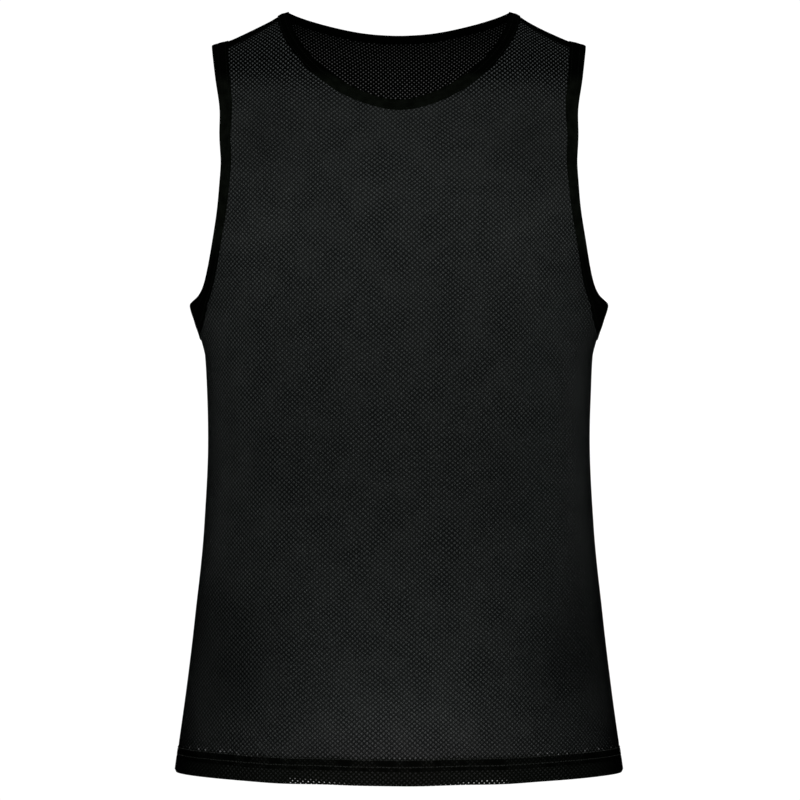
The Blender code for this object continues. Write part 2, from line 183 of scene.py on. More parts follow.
# Painted light and shade: soft lighter and darker places painted into the cloth's colour, standing in for
# where it lies open to the light, in close shade or turned from the light
Tone = namedtuple("Tone", "side x drop half_width half_height strength")
PAINTED_TONES = [Tone(*row) for row in (
    (FRONT, -0.158, 0.6, 0.05, 0.085, -0.52),
    (FRONT, 0.16, 0.6, 0.05, 0.085, -0.56),
    (FRONT, 0.0, 0.655, 0.085, 0.034, 0.3),
    (FRONT, -0.085, 0.64, 0.018, 0.07, -0.14),
    (FRONT, 0.082, 0.64, 0.018, 0.07, -0.12),
    (FRONT, -0.117, 0.126, 0.03, 0.022, -0.16),
    (FRONT, 0.113, 0.126, 0.03, 0.022, -0.16),
    (FRONT, -0.12, 0.207, 0.035, 0.03, 0.1),
    (FRONT, 0.118, 0.207, 0.035, 0.03, 0.1),
    (FRONT, 0.0, 0.16, 0.07, 0.04, 0.08),
    (FRONT, 0.0, 0.44, 0.45, 0.15, -0.27),
    (FRONT, -0.09, 0.4, 0.05, 0.06, -0.1),
    (FRONT, 0.1, 0.44, 0.05, 0.06, -0.1),
    (FRONT, 0.0, 0.03, 0.45, 0.055, 0.14),
    (FRONT, -0.205, 0.69, 0.026, 0.06, -0.8),
    (FRONT, 0.205, 0.69, 0.026, 0.06, -0.8),
    (FRONT, -0.165, 0.7, 0.034, 0.032, -0.24),
    (FRONT, 0.16, 0.7, 0.034, 0.032, -0.28),
    (FRONT, 0.19, 0.56, 0.022, 0.06, -0.3),
    (FRONT, -0.19, 0.56, 0.022, 0.04, -0.25),
    (FRONT, -0.183, 0.245, 0.02, 0.045, -0.3),
    (FRONT, 0.183, 0.25, 0.022, 0.06, -0.35),
    (FRONT, 0.0, 0.32, 0.45, 0.07, -0.07),
    (BACK, -0.15, 0.59, 0.05, 0.09, -0.35),
    (BACK, 0.15, 0.59, 0.05, 0.09, -0.35),
    (BACK, 0.01, 0.64, 0.09, 0.05, 0.2),
    (BACK, -0.03, 0.15, 0.09, 0.05, 0.12),
    (BACK, 0.04, 0.38, 0.09, 0.05, -0.15),
)]
TURNED_AWAY = (1.10, 1.50)  # angles over which a painted shade darkens the cloth towards the side seams, where it turns from the light
TURNED_SHADE = 0.54
TOP_PAINTED_SHADE = (0.100, 0.052)  # drops between which a painted shade darkens the thread towards the shoulders
TAPE_PAINTED_SHADE = (0.070, 0.058)  # the same painted shade for the tapes
UNDERARM_PAINTED_SHADE = (0.214, 0.234)  # drops between which a painted shade darkens the armholes' tapes towards the side seams
# Where the cloth's tint is a little warmer
WARM_PLACE = Tone(side=FRONT, x=0.000, drop=0.700, half_width=0.110, half_height=0.045, strength=1.0)

# How finely the visible cloth is divided
NECK_STEPS = {FRONT: 60, BACK: 40}
ARMHOLE_STEPS = 90
SIDE_STEPS = 116
HEM_ROWS = 9
HALF_COLUMNS = 66
EDGE_SAMPLES = 2000
SLOPE_STEP = 1e-4  # change of angle or turn over which a slope is measured
EDGE_NUDGE = 1e-3  # the same, in shares of an edge
DOWN = np.array((0.0, 0.0, -1.0))
INSET_STEPS = 4  # steps in which a place is moved in from an edge

# Columns of places in from a finished edge
FOLD, CUT_EDGE, TAPE_END = 0, 1, 6
STRIP_SHARES = (0.0, 0.14, 0.30, 0.47, 0.64, 0.82, 1.0)


def smooth_through(xs, ys):
    """A function of an array that runs through the points (x, y) with no overshoot."""
    xs, ys = np.array(xs), np.array(ys)
    spans = np.diff(xs)
    rises = np.diff(ys) / spans
    before, after = rises[:-1], rises[1:]
    total = np.where(before + after == 0, 1.0, before + after)
    inner = np.where(before * after > 0, 2 * before * after / total, 0.0)
    slopes = np.concatenate(([rises[0]], inner, [rises[-1]]))

    def value(x):
        x = np.clip(x, xs[0], xs[-1])
        i = np.clip(np.searchsorted(xs, x, side="right") - 1, 0, len(spans) - 1)
        t = (x - xs[i]) / spans[i]
        start = (1 + 2 * t) * (1 - t) ** 2 * ys[i] + t * (1 - t) ** 2 * spans[i] * slopes[i]
        end = t * t * (3 - 2 * t) * ys[i + 1] + t * t * (t - 1) * spans[i] * slopes[i + 1]
        return start + end

    return value


def column(table, key, name):
    return smooth_through([getattr(row, key) for row in table], [getattr(row, name) for row in table])


half_width = column(SECTIONS, "drop", "half_width")
side_pinch = column(SECTIONS, "drop", "side_pinch")
depth_of = {FRONT: column(SECTIONS, "drop", "front_depth"), BACK: column(SECTIONS, "drop", "back_depth")}
shoulder_fall = column(SHOULDER_LINE, "x", "fall")
armhole_degrees = column(ARMHOLE, "drop", "degrees")


def smooth_step(t):
    t = np.clip(t, 0.0, 1.0)
    return t * t * (3 - 2 * t)


def between(value, start, end):
    """0 up to start, 1 from end on, smooth between; start may be the higher of the two."""
    return smooth_step((value - start) / (end - start))


def mix(a, b, share):
    return a + (b - a) * share


def travelled(points, axis=0):
    """Distance travelled at each point of a line, or of lines side by side."""
    spans = np.linalg.norm(np.diff(points, axis=axis), axis=-1)
    return np.insert(np.cumsum(spans, axis=axis), 0, 0.0, axis=axis)


def unit(vectors):
    return vectors / np.linalg.norm(vectors, axis=-1, keepdims=True)


# ------------ the cloth's surface


def fold_height(side, x, drop):
    height = np.zeros_like(x)
    for fold in FOLDS:
        if fold.side == side:
            share = np.clip((drop - fold.top_drop) / (LENGTH - fold.top_drop), 0.0, 1.0)
            middle = mix(fold.top_x, fold.hem_x, share)
            height += fold.height * smooth_step(share) * np.exp(-((x - middle) / fold.half_width) ** 2)
    return height


def corner(drop):
    """The armholes end in a soft corner where their tapes meet the side seams."""
    above = np.exp(-np.abs(drop - CORNER_DROP) / CORNER_ABOVE)
    below = np.clip(1 - (drop - CORNER_DROP) / CORNER_BELOW, 0.0, 1.0) ** CORNER_CURVE
    return CORNER * np.where(drop < CORNER_DROP, above, below)


def filled_form(side, angle, turn):
    """The solids' outer face, closed at the seams and with a sharper corner under each arm."""
    lean = SHOULDER_TURN[side]
    level = np.where(turn < 1, np.cos(turn * QUARTER), 0.0)
    reach = np.where(turn < 1, np.sin(turn * QUARTER), 1.0)
    drop = lean * np.where(turn < 1, 1 - level, 1 + (turn - 1) * QUARTER)
    across = np.sin(angle)
    x = half_width(drop) * across + corner(drop) * across ** CORNER_SHARPNESS
    pinch = 1 - side_pinch(drop) * across ** 2
    bulge = depth_of[side](drop) * pinch + fold_height(side, x, drop)
    y = side * bulge * reach * np.cos(angle)
    z = -drop - level * shoulder_fall(np.abs(x))
    return np.stack((x, y, z), axis=-1)


def slopes(form, side, angle, turn):
    round_body = form(side, angle + SLOPE_STEP, turn) - form(side, angle - SLOPE_STEP, turn)
    down_body = form(side, angle, turn + SLOPE_STEP) - form(side, angle, turn - SLOPE_STEP)
    return round_body / (2 * SLOPE_STEP), down_body / (2 * SLOPE_STEP)


def outward(form, side, angle, turn):
    round_body, down_body = slopes(form, side, angle, turn)
    return unit(np.cross(round_body, down_body) * side)


def crease_height(side, x, drop):
    """Soft creases, each faded out at its two ends, and the uneven lie of the loose cloth."""
    height = np.zeros_like(x)
    for crease in CREASES:
        if crease.side != side:
            continue
        run_x, run_drop = crease.x1 - crease.x0, crease.drop1 - crease.drop0
        length = np.hypot(run_x, run_drop)
        along = ((x - crease.x0) * run_x + (drop - crease.drop0) * run_drop) / length ** 2
        off = ((x - crease.x0) * run_drop - (drop - crease.drop0) * run_x) / length
        fade = smooth_step(along / CREASE_FADE) * smooth_step((1 - along) / CREASE_FADE)
        height += crease.height * fade * np.exp(-(off / crease.half_width) ** 2)
    for wave in WAVES:
        travel = (x + wave.slant * drop) / (wave.length * np.hypot(1.0, wave.slant))
        height += wave.height * np.sin(2 * pi * travel + wave.phase + side)
    return height


def cloth(side, angle, turn):
    """The visible cloth's outer face: the filled form with creases, which fade out at the side seams."""
    points = filled_form(side, angle, turn)
    normals = outward(filled_form, side, angle, turn)
    height = crease_height(side, points[..., 0], -points[..., 2])
    seam_fade = smooth_step((QUARTER - np.abs(angle)) / SEAM_FADE)
    return points + normals * (height * seam_fade)[..., None]


def nearness(spot, points):
    """1 in the middle of a soft place, fading out over its half width and half height."""
    x, drop = points[:, 0], -points[:, 2]
    return np.exp(-(((x - spot.x) / spot.half_width) ** 2 + ((drop - spot.drop) / spot.half_height) ** 2))


# Painted light and shade at each place: darker towards the side seams, and lighter or darker in the listed
# soft places
def painted_tone_of(side, angle, points):
    tone = 1 - TURNED_SHADE * between(np.abs(angle), *TURNED_AWAY)
    for spot in PAINTED_TONES:
        if spot.side == side:
            tone *= 1 + spot.strength * nearness(spot, points)
    return tone


def turn_at(side, x, drop):
    lean = SHOULDER_TURN[side]
    fall = shoulder_fall(np.abs(x))
    bent = np.arccos(np.clip((lean - drop) / (lean - fall), 0.0, 1.0)) / QUARTER
    return np.where(drop < lean, bent, 1 + (drop - lean) / (lean * QUARTER))


def neck_edge(side, share):
    line = NECKLINE[side]
    x = NECK_HALF_WIDTH * np.cos(share * QUARTER)
    drop = line.depth * (1 - (x / NECK_HALF_WIDTH) ** line.flare) ** line.round
    return np.arcsin(x / half_width(drop)), turn_at(side, x, drop)


def armhole_edge(side, share):
    drop = mix(ARMHOLE[0].drop, ARMHOLE[-1].drop, share)
    angle = np.radians(armhole_degrees(drop))
    turn = turn_at(side, half_width(drop) * np.sin(angle), drop)
    return angle, np.where(share == 0, 0.0, turn)


def evenly_spaced(side, edge, steps):
    shares = np.linspace(0, 1, EDGE_SAMPLES + 1)
    reached = travelled(filled_form(side, *edge(side, shares)))
    return np.interp(np.linspace(0, reached[-1], steps + 1), reached, shares)


def step_inside(side, angle, turn, heading, distance, keep_angle, keep_turn):
    """Places a distance in along the cloth, with the angle or turn kept on a seam."""
    heading = unit(heading)
    for _ in range(INSET_STEPS):
        a, b = slopes(filled_form, side, angle, turn)
        aa, ab, bb = (a * a).sum(-1), (a * b).sum(-1), (b * b).sum(-1)
        ah, bh = (a * heading).sum(-1), (b * heading).sum(-1)
        scale = distance / INSET_STEPS / (aa * bb - ab * ab)
        angle = angle + np.where(keep_angle, 0.0, (bb * ah - ab * bh) * scale)
        turn = turn + np.where(keep_turn, 0.0, (aa * bh - ab * ah) * scale)
    return angle, turn


def strip_under_tape(side, edge, steps, inside_sign, at_side_seam):
    """Places in from an edge: an array of (station, column, (angle, turn))."""
    shares = evenly_spaced(side, edge, steps)
    angle, turn = edge(side, shares)
    before = filled_form(side, *edge(side, np.clip(shares - EDGE_NUDGE, 0, 1)))
    after = filled_form(side, *edge(side, np.clip(shares + EDGE_NUDGE, 0, 1)))
    heading = unit(np.cross(outward(filled_form, side, angle, turn), after - before) * inside_sign * side)
    width = np.full(steps + 1, BINDING_WIDTH)
    if at_side_seam:
        turned = between(shares, UNDERARM_BLEND, 1)
        heading = mix(heading, DOWN, turned[:, None])
        width = mix(BINDING_WIDTH, UNDERARM_BINDING, turned ** 2)
    station = np.arange(steps + 1)
    columns = [
        np.stack(step_inside(side, angle, turn, heading, width * share, station == steps, station == 0), -1)
        for share in STRIP_SHARES
    ]
    return np.stack(columns, axis=1)


def drop_of(side, places):
    return -filled_form(side, places[..., 0], places[..., 1])[..., 2]


def main_rows(side, neck_strip, armhole_strip):
    """Places across half a panel: an array of (row, column, (angle, turn))."""
    neck_line, armhole_line = neck_strip[:, TAPE_END], armhole_strip[:, TAPE_END]
    neck_bottom, seam_top = drop_of(side, neck_line[-1]), drop_of(side, armhole_line[-1])
    centre = np.linspace(neck_bottom, seam_top, ARMHOLE_STEPS - NECK_STEPS[side] + 1)[1:]
    below = np.linspace(seam_top, LENGTH - HEM_HEIGHT, SIDE_STEPS + 1)[1:]
    hem = np.linspace(LENGTH - HEM_HEIGHT, LENGTH, HEM_ROWS + 1)[1:]

    def on_line(angle, drops):
        return np.stack((np.full(len(drops), angle), turn_at(side, 0.0, drops)), -1)

    low = np.concatenate((below, hem))
    inner = np.concatenate((neck_line, on_line(0.0, np.concatenate((centre, low)))))
    outer = np.concatenate((armhole_line, on_line(QUARTER, low)))
    shares = np.linspace(0, 1, HALF_COLUMNS + 1)[None, :, None]
    return mix(inner[:, None], outer[:, None], shares)


# ------------ where each place lies on the flat cloth

RULER_COLUMNS = 241
RULER_ROWS = 481
LAST_CELL = 1.001  # keeps a place on the far edge inside the ruler's last cell
RULER_ANGLES = np.linspace(-QUARTER, QUARTER, RULER_COLUMNS)
RULER_TURNS = {
    side: np.linspace(0, float(turn_at(side, 0.0, LENGTH)), RULER_ROWS) for side in (FRONT, BACK)
}


def make_ruler(side):
    """Distances across from the centre line and up from the hem, on a regular grid of places."""
    angles, turns = np.meshgrid(RULER_ANGLES, RULER_TURNS[side], indexing="ij")
    points = filled_form(side, angles, turns)
    across, down = travelled(points), travelled(points, axis=1)
    return across - across[RULER_COLUMNS // 2], down[:, -1:] - down


RULERS = {side: make_ruler(side) for side in (FRONT, BACK)}


def flat_place(side, places):
    """Distances (across from the centre line, up from the hem) of places, in metres along the cloth."""
    angles, turns = RULER_ANGLES, RULER_TURNS[side]
    i = np.clip((places[:, 0] - angles[0]) / (angles[1] - angles[0]), 0, len(angles) - LAST_CELL)
    j = np.clip((places[:, 1] - turns[0]) / (turns[1] - turns[0]), 0, len(turns) - LAST_CELL)
    i0, j0 = i.astype(int), j.astype(int)
    s, t = i - i0, j - j0
    found = []
    for grid in RULERS[side]:
        top = mix(grid[i0, j0], grid[i0 + 1, j0], s)
        bottom = mix(grid[i0, j0 + 1], grid[i0 + 1, j0 + 1], s)
        found.append(mix(top, bottom, t))
    return np.stack(found, -1)


# ------------ meshes


def grid_quads(rows, columns, start=0, closed_rows=False, closed_columns=False):
    """Faces of a grid of points numbered row by row."""
    r = np.arange(rows if closed_rows else rows - 1)
    c = np.arange(columns if closed_columns else columns - 1)
    r, c = [a.ravel() for a in np.meshgrid(r, c, indexing="ij")]
    down, right = (r + 1) % rows, (c + 1) % columns
    corners = (r * columns + c, down * columns + c, down * columns + right, r * columns + right)
    return np.stack(corners, -1) + start


def new_object(name, points, faces, material):
    mesh = bpy.data.meshes.new(name)
    mesh.from_pydata(points.tolist(), [], faces if isinstance(faces, list) else faces.tolist())
    mesh.validate()
    mesh.shade_smooth()
    mesh.materials.append(material)
    obj = bpy.data.objects.new(name, mesh)
    bpy.context.scene.collection.objects.link(obj)
    return obj


def set_uv(obj, uv):
    """One UV for each vertex, in metres along the cloth."""
    layer = obj.data.uv_layers.new(name="cloth")
    loops = np.empty(len(obj.data.loops), dtype=np.int32)
    obj.data.loops.foreach_get("vertex_index", loops)
    layer.data.foreach_set("uv", uv[loops].astype(np.float32).ravel())


def set_share(obj, name, values):
    """A number for each vertex, read by the material."""
    layer = obj.data.attributes.new(name, "FLOAT", "POINT")
    layer.data.foreach_set("value", values.astype(np.float32))


SEAM_ROLL = 0.0016  # width over which a panel's edge turns in at a seam
SEAM_SINK = 0.0006  # how far it sinks there
HEM_PUFF = 0.0005  # the turned-up double layer stands a little proud
PUFF_TOP = 0.003  # height over which that comes in at the hem's top
PUFF_EDGE = 0.002  # half the height over which it goes again at the edge
HEM_STEP = 0.001  # how far below the hem's top one layer becomes two
HEM_ROLL = 0.0014  # how far the hem's folded edge rolls in
HEM_ROLL_HEIGHT = 0.0030
HEM_GROOVE = 0.0004  # how far the hem is pulled in along its stitching
HEM_ROW_HEIGHTS = (0.0232, 0.0170)  # the two needle rows above the hem's edge
GROOVE_HALF_WIDTH = 0.0010
SHOULDER_ALLOWANCE = {FRONT: 0.0210, BACK: 0.0095}  # seam allowances behind the cloth close its holes
SIDE_ALLOWANCE = 0.0045
ALLOWANCE_EDGE = 0.0015
SAME_PLACE = 1e-7  # places that agree to this are one


def panel_lift(flat, seam_distance, shoulder_distance):
    """How far the cloth stands off its creased form near seams and at the hem."""
    up = flat[:, 1]
    roll = np.clip(1 - np.minimum(seam_distance, shoulder_distance) / SEAM_ROLL, 0, 1) ** 2
    puff = HEM_PUFF * smooth_step((HEM_HEIGHT - up) / PUFF_TOP) * between(up, -PUFF_EDGE, PUFF_EDGE)
    lift = puff - SEAM_SINK * roll - HEM_ROLL * np.clip(1 - up / HEM_ROLL_HEIGHT, 0, 1) ** 2
    for height in HEM_ROW_HEIGHTS:
        lift -= HEM_GROOVE * np.exp(-((up - height) / GROOVE_HALF_WIDTH) ** 2)
    return lift


def make_panel(name, side, strips, material):
    """A thin closed shell of mesh cloth with a rim."""
    patches = [strips[0][:, CUT_EDGE:], strips[1][:, CUT_EDGE:], main_rows(side, *strips)]
    places, quads, start = [], [], 0
    for mirror in (1, -1):
        for patch in patches:
            rows, columns = patch.shape[:2]
            places.append(patch.reshape(-1, 2) * (mirror, 1))
            found = grid_quads(rows, columns, start)
            quads.append(found if mirror > 0 else found[:, ::-1])
            start += rows * columns
    places, quads = np.concatenate(places), np.concatenate(quads)
    keys = np.round(places / SAME_PLACE).astype(np.int64)
    _, first, merged = np.unique(keys, axis=0, return_index=True, return_inverse=True)
    places, quads = places[first], merged.ravel()[quads]

    angle, turn = places.T
    flat = flat_place(side, places)
    side_reach = np.interp(turn, RULER_TURNS[side], RULERS[side][0][-1])
    seam_distance = side_reach - np.abs(flat[:, 0])
    shoulder_distance = np.interp(np.abs(angle), RULER_ANGLES, RULERS[side][1][:, 0]) - flat[:, 1]
    points = cloth(side, angle, turn)
    normals = outward(cloth, side, angle, turn)
    points += normals * panel_lift(flat, seam_distance, shoulder_distance)[:, None]
    wall = np.where(flat[:, 1] < HEM_HEIGHT - HEM_STEP, 2 * CLOTH, CLOTH)
    inner = points - normals * wall[:, None]

    count = len(points)
    sides = np.concatenate([quads[:, [k, (k + 1) % 4]] for k in range(4)])
    _, where, uses = np.unique(np.sort(sides, 1), axis=0, return_inverse=True, return_counts=True)
    rim = sides[uses[where.ravel()] == 1]
    rim_quads = np.stack((rim[:, 1], rim[:, 0], rim[:, 0] + count, rim[:, 1] + count), -1)
    faces = np.concatenate((quads, quads[:, ::-1] + count, rim_quads))
    if side == BACK:
        faces = faces[:, ::-1]
    obj = new_object(name, np.concatenate((points, inner)), faces, material)
    set_uv(obj, np.tile(flat, (2, 1)))
    covered = np.maximum(
        smooth_step((SHOULDER_ALLOWANCE[side] - shoulder_distance) / ALLOWANCE_EDGE),
        smooth_step((SIDE_ALLOWANCE - seam_distance) / ALLOWANCE_EDGE),
    )
    set_share(obj, "covered", np.tile(covered, 2))
    # painted shade: the thread darkens towards the shoulders, and all over the inner face
    painted_shade = between(-points[:, 2], *TOP_PAINTED_SHADE)
    set_share(obj, "painted_shade", np.concatenate((painted_shade, np.ones(count))))
    set_share(obj, "inside", np.repeat((0.0, 1.0), count))
    # painted light and shade, read by the material
    set_share(obj, "tone", np.tile(painted_tone_of(side, angle, points), 2))
    warm = nearness(WARM_PLACE, points) * (side == WARM_PLACE.side)
    set_share(obj, "warm", np.tile(warm, 2))
    return obj


# ------------ the tape on the edges

TapePoint = namedtuple("TapePoint", "share height")
TAPE_OUTLINE = [TapePoint(*row) for row in (
    # outer layer, from its stitched edge to the fold
    (1.010, 0.0002),
    (1.006, 0.0007),
    (0.970, 0.0009),
    (0.900, 0.0008),
    (0.840, 0.0007),
    (0.780, 0.0009),
    (0.620, 0.0011),
    (0.460, 0.0010),
    (0.380, 0.0008),
    (0.300, 0.0010),
    (0.160, 0.0010),
    (0.060, 0.0007),
    # round the fold
    (0.010, 0.0002),
    (0.000, -0.0004),
    (0.010, -0.0010),
    (0.060, -0.0015),
    # inner layer
    (0.200, -0.0017),
    (0.500, -0.0018),
    (0.850, -0.0018),
    (0.980, -0.0016),
    (1.000, -0.0011),
)]
MID_CLOTH = -CLOTH / 2
TAPE_HOLLOW = 0.45  # how far out the tape's hidden faces lie, as a share of its shown ones
FOLD_WALL = 0.045  # the tape's wall at its fold, as a share of its width
FOLD_REACH = 0.10
NEEDLE_SHARES = (0.84, 0.38)  # the two rows of stitching along a tape
PUCKER_HEIGHT = 0.00022
PUCKER_LENGTHS = (0.0090, 0.0137, 0.0061)
PUCKER_SHIFT = 1.7
SHOWN = 6  # number of an outline point on the outer layer, used to tell outside from inside


def edge_ring(name, mirror):
    """A finished edge all round: its places' points and normals, by (station, column)."""

    def half_ring(side):
        angle, turn = np.moveaxis(STRIPS[side][name] * (mirror, 1), -1, 0)
        return np.stack((cloth(side, angle, turn), outward(cloth, side, angle, turn)))

    front, back = half_ring(FRONT), half_ring(BACK)
    if name == "neck":
        flip = np.array((-1.0, 1.0, 1.0))
        front = np.concatenate((front, front[:, -2::-1] * flip), axis=1)
        back = np.concatenate((back, back[:, -2::-1] * flip), axis=1) * flip
    else:
        back = back[:, ::-1]
    for end, other in ((0, -1), (-1, 0)):
        front[0, end] = (front[0, end] + back[0, other]) / 2
        front[1, end] = unit(front[1, end] + back[1, other])
    return np.concatenate((front, back[:, 1:-1]), axis=1)


def along_strip(values, shares):
    """Values at each station between its columns, at any shares of its width, also a little past its ends."""
    columns = np.array(STRIP_SHARES)
    station = np.arange(len(values))[:, None]
    i = np.clip(np.searchsorted(columns, shares) - 1, 0, len(columns) - 2)
    t = ((shares - columns[i]) / (columns[i + 1] - columns[i]))[..., None]
    return mix(values[station, i], values[station, i + 1], t)


def closed_lengths(points):
    """Distance travelled at each station of a closed line, and its whole length."""
    spans = np.linalg.norm(np.roll(points, -1, axis=0) - points, axis=1)
    return np.concatenate(([0.0], np.cumsum(spans)[:-1])), float(spans.sum())


def pucker(along, perimeter):
    """Slight unevenness of a sewn tape, the same at both ends of its round."""
    total = np.zeros_like(along)
    for number, length in enumerate(PUCKER_LENGTHS):
        waves = round(perimeter / length)
        total += np.sin(2 * pi * waves * along / perimeter + PUCKER_SHIFT * number) / len(PUCKER_LENGTHS)
    return total


def tape_section():
    """Shares and heights round the tape's folded wall: its shown faces, and back along its hidden ones."""
    shares, heights = np.array(TAPE_OUTLINE).T
    hidden_shares = shares + FOLD_WALL * (1 - smooth_step(shares / FOLD_REACH))
    hidden_heights = MID_CLOTH + (heights - MID_CLOTH) * TAPE_HOLLOW
    return np.concatenate((shares, hidden_shares[::-1])), np.concatenate((heights, hidden_heights[::-1]))


ARMHOLE_WIDENING = 1.07
SHOULDER_WIDENING = 0.36  # the armhole tapes lie flatter, so wider, towards the shoulder
WIDENED = 0.20  # share of the armhole's round over which that fades, on each side


def widening(edge_name, along, perimeter):
    """How much wider than its strip the tape is, at each station."""
    if edge_name == "neck":
        return np.ones_like(along)
    from_shoulder = np.minimum(along, perimeter - along) / perimeter
    return ARMHOLE_WIDENING + SHOULDER_WIDENING * smooth_step(1 - from_shoulder / WIDENED)


def make_tape(name, edge_name, mirror, material):
    points, normals = edge_ring(edge_name, mirror)
    along, perimeter = closed_lengths(points[:, FOLD])
    shares, heights = tape_section()
    widths = widening(edge_name, along, perimeter)
    lift = heights + PUCKER_HEIGHT * pucker(along, perimeter)[:, None] * np.sin(pi * np.clip(shares, 0, 1))
    ring_shares = shares * widths[:, None]
    ring = along_strip(points, ring_shares) + unit(along_strip(normals, ring_shares)) * lift[..., None]
    stations, columns = ring.shape[:2]
    faces = grid_quads(stations, columns, closed_rows=True, closed_columns=True)
    place = stations // 4
    shown = ring[place, SHOWN]
    facing = np.cross(ring[place + 1, SHOWN] - shown, ring[place, SHOWN + 1] - shown)
    if facing @ (shown - ring[place].mean(axis=0)) > 0:
        faces = faces[:, ::-1]
    obj = new_object(name, ring.reshape(-1, 3), faces, material)
    spans = np.linalg.norm(np.diff(ring, axis=1), axis=-1).mean(axis=0)
    across_at = np.concatenate(([0.0], np.cumsum(spans)))
    uv = np.stack(np.broadcast_arrays(along[:, None], across_at[None, :]), -1)
    set_uv(obj, uv.reshape(-1, 2))
    drop = -ring[..., 2].ravel()
    # painted shade on the tapes, towards the shoulders and under the arms
    set_share(obj, "painted_shade", between(drop, *TAPE_PAINTED_SHADE) + between(drop, *UNDERARM_PAINTED_SHADE))
    return obj, perimeter


# ------------ stitches

STITCH_SIDES = 6
STITCH_THREAD = 0.00022  # half the thickness of the sewn thread
STITCH_LENGTH = 0.0023
STITCH_PITCH = 0.0030
STITCH_AHEAD = 2e-4  # used to find a stitch's direction
StitchRing = namedtuple("StitchRing", "share thickness rise")
STITCH_RINGS = [StitchRing(*row) for row in (
    (0.00, 0.25, -0.90),
    (0.12, 0.90, -0.20),
    (0.35, 1.00, 0.35),
    (0.65, 1.00, 0.35),
    (0.88, 0.90, -0.20),
    (1.00, 0.25, -0.90),
)]


def stitch_row(points, normals, closed):
    """Short lengths of thread along a line on the cloth: their points and faces."""
    ends = np.concatenate((points, points[:1])) if closed else points
    end_normals = np.concatenate((normals, normals[:1])) if closed else normals
    reached = travelled(ends)
    count = int(reached[-1] / STITCH_PITCH)
    starts = np.arange(count) * reached[-1] / count

    def at(distance, values):
        return np.stack([np.interp(distance, reached, values[:, k]) for k in range(3)], -1)

    rings = []
    for share, thickness, rise in STITCH_RINGS:
        place = starts + share * STITCH_LENGTH
        centre, normal = at(place, ends), unit(at(place, end_normals))
        ahead = unit(at(place + STITCH_AHEAD, ends) - at(place - STITCH_AHEAD, ends))
        sideways = np.cross(normal, ahead)
        turns = np.linspace(0, 2 * pi, STITCH_SIDES, endpoint=False)
        spoke = sideways[:, None] * np.cos(turns)[:, None] + normal[:, None] * np.sin(turns)[:, None]
        rings.append((centre + normal * rise * STITCH_THREAD)[:, None] + spoke * thickness * STITCH_THREAD)
    points = np.stack(rings, 1).reshape(-1, 3)
    size = len(STITCH_RINGS) * STITCH_SIDES
    one = grid_quads(len(STITCH_RINGS), STITCH_SIDES, closed_columns=True).tolist()
    one += [list(range(STITCH_SIDES))[::-1], list(range(size - STITCH_SIDES, size))]
    faces = [[corner + number * size for corner in face] for number in range(count) for face in one]
    return points, faces


def join_rows(name, rows, material):
    points, faces, start = [], [], 0
    for row_points, row_faces in rows:
        points.append(row_points)
        faces += [[corner + start for corner in face] for face in row_faces]
        start += len(row_points)
    return new_object(name, np.concatenate(points), faces, material)


def tape_stitches(name, edge_name, mirror, material):
    points, normals = edge_ring(edge_name, mirror)
    widths = widening(edge_name, *closed_lengths(points[:, FOLD]))
    rows = []
    for share in NEEDLE_SHARES:
        heights = np.interp(share, *zip(*sorted((p.share, p.height) for p in TAPE_OUTLINE if p.height > 0)))
        shares = (share * widths)[:, None]
        on_row = along_strip(points, shares)[:, 0]
        row_normals = unit(along_strip(normals, shares)[:, 0])
        rows.append(stitch_row(on_row + row_normals * heights, row_normals, closed=True))
    return join_rows(name, rows, material)


HEM_SAMPLES = 400
HEM_STITCH_PROUD = 0.0002


def hem_stitches(name, side, material):
    angle = np.linspace(-QUARTER, QUARTER, HEM_SAMPLES)
    rows = []
    for height in HEM_ROW_HEIGHTS:
        turn = np.full(HEM_SAMPLES, float(turn_at(side, 0.0, LENGTH - height)))
        normals = outward(cloth, side, angle, turn)
        lift = HEM_PUFF - HEM_GROOVE + HEM_STITCH_PROUD
        rows.append(stitch_row(cloth(side, angle, turn) + normals * lift, normals, closed=False))
    return join_rows(name, rows, material)


# ------------ materials

MIX_A, MIX_B, MIX_RESULT = 6, 7, 2  # the colour sockets of a mix node


